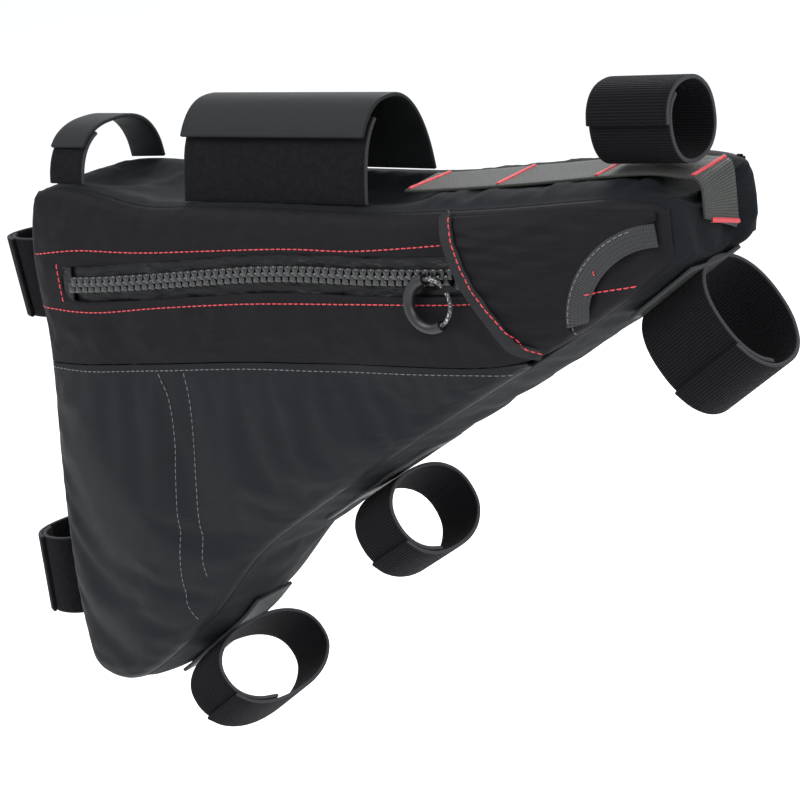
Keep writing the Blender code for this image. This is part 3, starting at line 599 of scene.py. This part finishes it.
webbing_25 = webbing("daisy webbing", 0.025, (0.0190, 0.0200, 0.0178))
strip_38 = webbing("strip webbing, broad", 0.038, (0.0180, 0.0185, 0.0190))
strip_25 = webbing("strip webbing, narrow", 0.025, (0.0150, 0.0155, 0.0165))
webbings = (
    ("daisy_chain", "daisy_webbing", up, (160, 9), 0.0013, webbing_25),
    ("front_base_strip", "down_tube_strip_front", down, (40, 9), 0.0018, strip_38),
    ("middle_base_strip", "down_tube_strip_middle", down, (40, 7), 0.0018, strip_25),
    ("lower_base_strip", "down_tube_strip_lower", down, (40, 7), 0.0018, strip_25),
)
nose_turn, nose_stretch = -0.026, 1.57      # below the turn the webbing runs on down the nose
nose_foot, nose_lean = -0.044, 0.8          # and below the foot it leans back
for name, node, away, fine, thickness, finish in webbings:
    rows = refine(rails_of(node, away), *fine)
    if name == "daisy_chain":
        for point in (p for row in rows for p in row if p.x > nose_back and p.z < nose_turn):
            point.z = nose_turn + (point.z - nose_turn) * nose_stretch
            point.x -= max(0, nose_foot - point.z) * nose_lean
    tape(name, rows, thickness, finish, (node,))
    if name == "daisy_chain":
        sewn_line = [row[len(row) // 2].copy() for row in rows]

# The long gusset is drawn up to the webbing sewn along its top, fully under the webbing and less
# and less towards the seams and the webbing's ends.
cloth = body["long_gusset"].data
webbing_drop, furthest_lift = 0.0021, 0.012     # from the webbing's face down to the cloth
lift_near, lift_far = 0.0130, 0.0290            # sideways, where the lift is full and where none
lead_in, lead_out, flat_end = 0.02, 0.01, 0.165
top_floor, nose_from = -0.060, -0.030
cell_width, line_half = 0.004, 0.004
profile = {}
for vertex in cloth.vertices:
    if abs(vertex.co.y) < line_half and vertex.co.z > top_floor:
        cell = round(vertex.co.x / cell_width)
        profile[cell] = max(profile.get(cell, -1), vertex.co.z)
start = min(sewn_line[0].x, sewn_line[-1].x)
for vertex in cloth.vertices:
    place = vertex.co
    cell = round(place.x / cell_width)
    if not start < place.x < flat_end or place.z < top_floor or cell not in profile:
        continue
    above = min(sewn_line, key=lambda p: abs(p.x - place.x) + max(0, nose_from - p.z))
    lift = above.z - webbing_drop - profile[cell]
    across = min(1, max(0, (lift_far - abs(place.y)) / (lift_far - lift_near)))
    ends = (min(1, max(0, (place.x - start) / lead_in))
            * min(1, max(0, (flat_end - place.x) / lead_out)))
    if abs(lift) < furthest_lift:
        place.z += lift * across * across * (3 - 2 * across) * ends


# Zip: two tapes coated with glossy film behind the slot, and a chain of moulded teeth whose
# heads hook into each other. Its left end is closed by a sewn tab of the same coated tape.
film = Finish("coated zip tape", (0.002, 0.002, 0.0025), 0.24,
              {"Coat Weight": 0.08, "Coat Roughness": 0.12, "Specular IOR Level": 0.2})
creases = film.place.stretched((160, 160, 420)).speckle(1.0, 4)
film.feed("Roughness", creases * 0.3 + 0.25)
film.feed("Normal", creases.relief(0.8, 0.0011))
for name, node in (("upper_tape", "zip_tape_upper"), ("lower_tape", "zip_tape_lower")):
    rows = refine(rails_of(node, right_side), 180, 9)
    for row in rows:
        for point in row:
            point.y += 0.0007 * noise.noise(Vector((point.x * 95, 0, point.z * 230)))
    tape(name, rows, 0.0010, film, (node,))
film.on(nodes["zip_end_tab"])

chain_low, chain_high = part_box("zip_chain")
chain_points = sorted(v.co.copy() for v in nodes["zip_chain"].data.vertices)
tooth_pitch = 0.0040
tooth_reach, tooth_depth, tooth_root = 0.0046, 0.0026, 0.0036


def chain_at(x, reach=0.006):
    """The middle of the chain at one place along it."""
    near = [p for p in chain_points if abs(p.x - x) < reach]
    z = sum(p.z for p in near) / len(near)
    return Vector((x, min(p.y for p in near), z))


tooth_outline = ((-0.52, 0.00), (-0.42, 0.45), (-0.30, 0.58), (-0.44, 0.80), (-0.34, 0.98),
                 (0.00, 1.06), (0.34, 0.98), (0.44, 0.80), (0.30, 0.58), (0.42, 0.45),
                 (0.52, 0.00))
teeth = bmesh.new()
count = int((chain_high.x - chain_low.x) / tooth_pitch) * 2
for k in range(count):
    x = chain_low.x + (k + 0.5) * tooth_pitch / 2
    side = 1 if k % 2 else -1
    middle = chain_at(x)
    rings = []
    for inset, depth in ((1.0, tooth_depth), (1.0, 0.0006), (0.72, 0.0)):
        ring = []
        for u, v in tooth_outline:
            height = (v - 0.5) * inset + 0.5
            at = Vector((u * inset * tooth_pitch * 0.92, depth,
                         side * (tooth_root - height * tooth_reach)))
            ring.append(teeth.verts.new(middle + at))
        rings.append(ring)
    for a, b in zip(rings, rings[1:]):
        for i in range(len(a)):
            j = (i + 1) % len(a)
            teeth.faces.new((a[i], a[j], b[j], b[i]))
    teeth.faces.new(rings[-1])
    teeth.faces.new(list(reversed(rings[0])))
bmesh.ops.recalc_face_normals(teeth, faces=teeth.faces[:])
moulded = Finish("moulded teeth", (0.0031, 0.0031, 0.0035), 0.32, {"Coat Weight": 0.2})
moulded.feed("Roughness", moulded.place.speckle(900, 3) * 0.2 + 0.22)
moulded.feed("Normal", moulded.place.speckle(1800, 2).relief(0.15, 0.0002))
chain = new_piece("tooth_chain", teeth)
moulded.on(chain)
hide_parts("zip_chain")
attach(chain, "root")
moulded.on(nodes["zip_slider"])


# Flap over the front of the zip: a thin light piece of the upper nylon, sewn in at the top, the
# nose and below, with a free rear edge bound by a hem. Its cloth lies in fine ripples.
flap_cloth = 0.0011
flap = new_piece("flap", skin_of("zip_garage", right_side))
flap_low, flap_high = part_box("zip_garage")
flap_ahead, flap_flat, flap_fade = 0.0050, 0.0018, 1.5


def flap_place(point):
    """The flap's free edge is pulled ahead and flat, and its sewn edge stays where it is."""
    free = max(0, 1 - (point.x - flap_low.x) / (flap_high.x - flap_low.x) * flap_fade)
    return Vector((point.x + flap_ahead * free, point.y + flap_flat * free, point.z))


for vertex in flap.data.vertices:
    vertex.co = flap_place(vertex.co)
apply(flap, "SUBSURF", levels=3, render_levels=3, boundary_smooth="PRESERVE_CORNERS")
for vertex, gap in zip(flap.data.vertices, seam_distance(flap)):
    x, z = vertex.co.x * 1000, vertex.co.z * 1000
    drift = noise.noise(Vector((x * 0.045, 0, z * 0.045))) * 3.2
    ripple = math.sin(z * 0.62 - x * 0.18 + drift)
    ripple += 0.6 * math.sin(z * 1.05 + x * 0.1 + drift * 1.7)
    vertex.co.y -= 0.00042 * ripple * min(1, gap / 0.009)
    vertex.co.y -= 0.0012 * noise.noise(Vector((x * 0.03, 5, z * 0.03))) * min(1, gap / 0.012)
apply(flap, "SOLIDIFY", thickness=flap_cloth, offset=-1, use_even_offset=True)
flap.data.shade_smooth()
upper_nylon.on(flap)
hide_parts("zip_garage")
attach(flap, "root")


def tree_of(*pieces):
    """What a needle would meet: the surfaces of these pieces as one tree to cast rays at."""
    graph = bpy.context.evaluated_depsgraph_get()
    points, faces = [], []
    for piece in pieces:
        mesh = piece.evaluated_get(graph).data
        faces += [[len(points) + i for i in face.vertices] for face in mesh.polygons]
        points += [v.co.copy() for v in mesh.vertices]
    return BVHTree.FromPolygons(points, faces)


hem_width, hem_rise, hem_steps = 0.0052, 0.0005, 70
flap_tree = tree_of(flap)
free_edge = min(sides_of("zip_garage", right_side),
                key=lambda side: sum(p.x for p in side) / len(side))
free_edge = smooth([flap_place(p) for p in sorted(free_edge, key=lambda p: -p.z)], hem_steps)
hem_rows = []
for k, point in enumerate(free_edge):
    along = (free_edge[min(k + 1, hem_steps - 1)] - free_edge[max(k - 1, 0)]).normalized()
    inward = Vector((-along.z, 0, along.x)).normalized()
    inward *= 1 if inward.x > 0 else -1
    row = []
    for share in (-0.06, 0.0, 0.25, 0.5, 0.75, 1.0):
        at = point + inward * hem_width * share
        found, normal, _, _ = flap_tree.find_nearest(at)
        lift = hem_rise if share > 0 else hem_rise * 0.4
        row.append(Vector((at.x, found.y - lift, at.z)))
    hem_rows.append(row)
hem_nylon = nylon("hem nylon", (0.0075, 0.0078, 0.0090), (0.0170, 0.0175, 0.0190), 0.58,
                  (0.5, 0, -0.86), (0.86, 0, 0.5), 0.0007, 0.01)
hem = tape("flap_hem", hem_rows, 0.0013, hem_nylon, ())

binding = tape("port_binding_tape", refine(rails_of("port_binding", right_side), 60, 7), 0.0014,
               webbing("binding webbing", 0.009, (0.0130, 0.0132, 0.0138)),
               ("port_binding",))


# Stitching: heavy red polyester on the zip, its flap and the webbing, thin grey on the seams.
# A stitch is a short thread that dips into the cloth at both of its ends.
class Thread:
    """Stitches of one colour, gathered in one mesh."""

    def __init__(self, name, colour, roughness):
        self.name = name
        self.mesh = bmesh.new()
        self.finish = Finish(name, colour, roughness, {"Sheen Weight": 0.2})
        twist = self.finish.place.speckle(1500, 2)
        dark, pale = (tuple(c * k for c in colour) for k in (0.55, 1.5))
        self.finish.feed("Base Color", twist.within(0.3, 0.7).blend((*dark, 1), (*pale, 1)))
        self.finish.feed("Roughness", twist * 0.2 + (roughness - 0.1))
        self.finish.feed("Normal", twist.relief(0.5, 0.0002))

    def stitch(self, start, end, normal, thickness, bulge=0.55):
        """One stitch between two holes, standing out along the normal between them."""
        run = end - start
        side = run.cross(normal).normalized()
        rings = []
        for t, size in ((0.0, 0.45), (0.14, 0.85), (0.5, 1.0), (0.86, 0.85), (1.0, 0.45)):
            middle = start + run * t + normal * thickness * bulge * (math.sin(math.pi * t) - 0.35)
            rings.append([self.mesh.verts.new(
                middle + (side * math.cos(a) + normal * math.sin(a)) * thickness / 2 * size)
                for a in (math.radians(60 * i) for i in range(6))])
        for a, b in zip(rings, rings[1:]):
            for i in range(6):
                self.mesh.faces.new((a[i], a[i - 1], b[i - 1], b[i]))
        self.mesh.faces.new(rings[0])
        self.mesh.faces.new(list(reversed(rings[-1])))

    def run(self, points, pitch, length, thickness):
        """A row of stitches along points, each a place and the cloth's normal there."""
        travelled = [0.0]
        for (a, _), (b, _) in zip(points, points[1:]):
            travelled.append(travelled[-1] + (b - a).length)

        def at(s):
            k = next((i for i in range(len(points) - 2) if travelled[i + 1] >= s), len(points) - 2)
            t = (s - travelled[k]) / max(travelled[k + 1] - travelled[k], 1e-9)
            return points[k][0].lerp(points[k + 1][0], t), points[k][1]

        for i in range(int(travelled[-1] / pitch)):
            (start, normal), (end, _) = at(i * pitch), at(i * pitch + length)
            self.stitch(start, end, normal, thickness)

    def bartack(self, start, end, normal, width, count):
        """A close zigzag across a short line, thick as a cord."""
        side = (end - start).cross(normal).normalized() * width / 2
        for i in range(count):
            t = (i + 0.5) / count
            lean = (end - start) / count * 0.35
            at = start.lerp(end, t)
            self.stitch(at - side - lean, at + side + lean, normal, 0.0009, 0.8)

    def finished(self):
        bmesh.ops.recalc_face_normals(self.mesh, faces=self.mesh.faces[:])
        piece = new_piece(self.name.replace(" ", "_"), self.mesh)
        self.finish.on(piece)
        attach(piece, "root")
        return piece


side_tree = tree_of(body["right_band"], body["right_panel"], flap, hem, binding)


def on_side(places, steps=60):
    """Places and normals on the bag's right side along a smooth line, given in mm forward of
    and below its top rear corner."""
    line = smooth([Vector((x, 0, -drop)) for x, drop in places], steps)
    found = []
    for place in line:
        start = corner + place / 1000
        start.y = -0.2
        hit, normal, _, _ = side_tree.ray_cast(start, Vector((0, 1, 0)))
        if hit is not None:
            found.append((hit, normal))
    return found


red = Thread("red stitching", (0.42, 0.012, 0.022), 0.5)
grey = Thread("grey stitching", (0.075, 0.078, 0.082), 0.55)
zip_rows = (
    ((-10, 32), (20, 28.5), (62, 28), (100, 26), (143, 24), (176, 24), (205, 22), (231, 19.5)),
    ((-8, 56), (29, 56), (69, 52), (121, 48), (176, 46), (224, 44.5), (246, 43)),
    ((8.5, 35), (9.5, 44), (10.5, 53)),
)
flap_row = ((229, 5), (234, 18), (243, 35), (253, 48), (263, 60), (272, 67))
for places in zip_rows + (flap_row,):
    red.run(on_side(places), 0.0030, 0.0024, 0.00062)
under_port_row = ((292, 38), (299, 37), (306, 36), (317, 34.5))
red.run(on_side(under_port_row, 20), 0.0030, 0.0025, 0.0007)
red.run(on_side(((297.5, 28), (298.5, 33)), 6), 0.0026, 0.0022, 0.0006)
grey_rows = (
    ((-6, 84.5), (20, 84), (55, 81.5), (117, 77), (172, 76), (228, 75), (251, 74.5), (262, 71)),
    ((64, 82), (68, 94), (68, 110), (65, 133), (62, 161), (57, 190), (60, 202)),
    ((79, 81), (80, 93), (79, 109), (76, 132), (73, 161), (71, 180)),
)
for places in grey_rows:
    grey.run(on_side(places, 90), 0.0030, 0.0022, 0.00042)
port_row = [(329 - 47 * math.cos(math.radians(a)), 57 - 47 * math.sin(math.radians(a)))
            for a in range(-22, 82, 8)]
grey.run(on_side(port_row), 0.0030, 0.0022, 0.00045)

webbing_tree = tree_of(bpy.data.objects["daisy_chain"])
bartacks = ((191, 196, 10), (235.5, 239.5, 10), (284.5, 288, 10), (330, 332, 12))


def on_webbing(x, y, z):
    """The nearest place on the webbing and its normal, from mm off the top rear corner."""
    hit, normal, _, _ = webbing_tree.find_nearest(corner + Vector((x, y, z)) / 1000)
    return hit, normal


for near, far, height in (*bartacks, (345, 345, -24.5)):
    (start, normal), (end, _) = on_webbing(near, -11.8, height), on_webbing(far, 11.8, height)
    red.bartack(start, end, normal, 0.0022, 34)
red.finished()
grey.finished()


# Pull: a loop of thin cord with light flecks, tied to the slider and threaded through a short
# rubber sleeve that makes a ring to pull on. It hangs flat against the bag.
pull_points = [v.co for name in ("ring_sleeve", "pull_cord") for v in nodes[name].data.vertices]
sleeve_low, sleeve_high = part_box("ring_sleeve")
cord_diameter, sleeve_diameter, ring_diameter = 0.0016, 0.0050, 0.0255
ring_radius = (ring_diameter - sleeve_diameter) / 2
ring_x = sleeve_low.x + ring_diameter / 2
ring_z = sleeve_low.z + ring_diameter / 2
mean = sum(pull_points, Vector()) / len(pull_points)
tilt_x = (sum((p.x - mean.x) * (p.y - mean.y) for p in pull_points)
          / sum((p.x - mean.x) ** 2 for p in pull_points))
tilt_z = (sum((p.z - mean.z) * (p.y - mean.y) for p in pull_points)
          / sum((p.z - mean.z) ** 2 for p in pull_points))


def ring_point(turn):
    """A point of the pull's ring: turn 0 is in front, 90 at the top."""
    x = ring_x + ring_radius * math.cos(math.radians(turn))
    z = ring_z + ring_radius * math.sin(math.radians(turn))
    return Vector((x, mean.y + tilt_x * (x - mean.x) + tilt_z * (z - mean.z), z))


def round_cord(name, turns, diameter, finish, replaced):
    """A round cord along the pull's ring, through these turns of it."""
    curve = bpy.data.curves.new(name, "CURVE")
    curve.dimensions = "3D"
    curve.bevel_depth = diameter / 2
    curve.bevel_resolution = 4
    curve.use_fill_caps = True
    line = curve.splines.new("POLY")
    line.points.add(len(turns) - 1)
    for point, turn in zip(line.points, turns):
        point.co = (*ring_point(turn), 1)
    piece = bpy.data.objects.new(name, curve)
    bpy.context.collection.objects.link(piece)
    finish.on(piece)
    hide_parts(replaced)
    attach(piece, "root")
    return piece


rubber = Finish("sleeve rubber", (0.0060, 0.0060, 0.0068), 0.38, {"Specular IOR Level": 0.4})
rubber.feed("Roughness", rubber.place.speckle(300, 3) * 0.25 + 0.26)
rubber.feed("Normal", rubber.place.speckle(1100, 2).relief(0.12, 0.0003))
braid = Finish("flecked cord", (0.02, 0.02, 0.02), 0.6, {"Sheen Weight": 0.2})
flecks = braid.place.speckle(1150, 1).within(0.56, 0.62)
braid.feed("Base Color", flecks.blend((0.010, 0.010, 0.011, 1), (0.30, 0.30, 0.31, 1)))
braid.feed("Roughness", flecks * 0.1 + 0.55)
braid.feed("Normal", braid.place.speckle(1600, 2).relief(0.5, 0.0003))
sleeve = round_cord("pull_sleeve", [100 + 200 * i / 60 for i in range(61)], sleeve_diameter,
                    rubber, "ring_sleeve")
cord_start, cord_turn = 46, 344
cord = round_cord("pull_loop", [cord_start + cord_turn * i / 90 for i in range(91)],
                  cord_diameter, braid, "pull_cord")
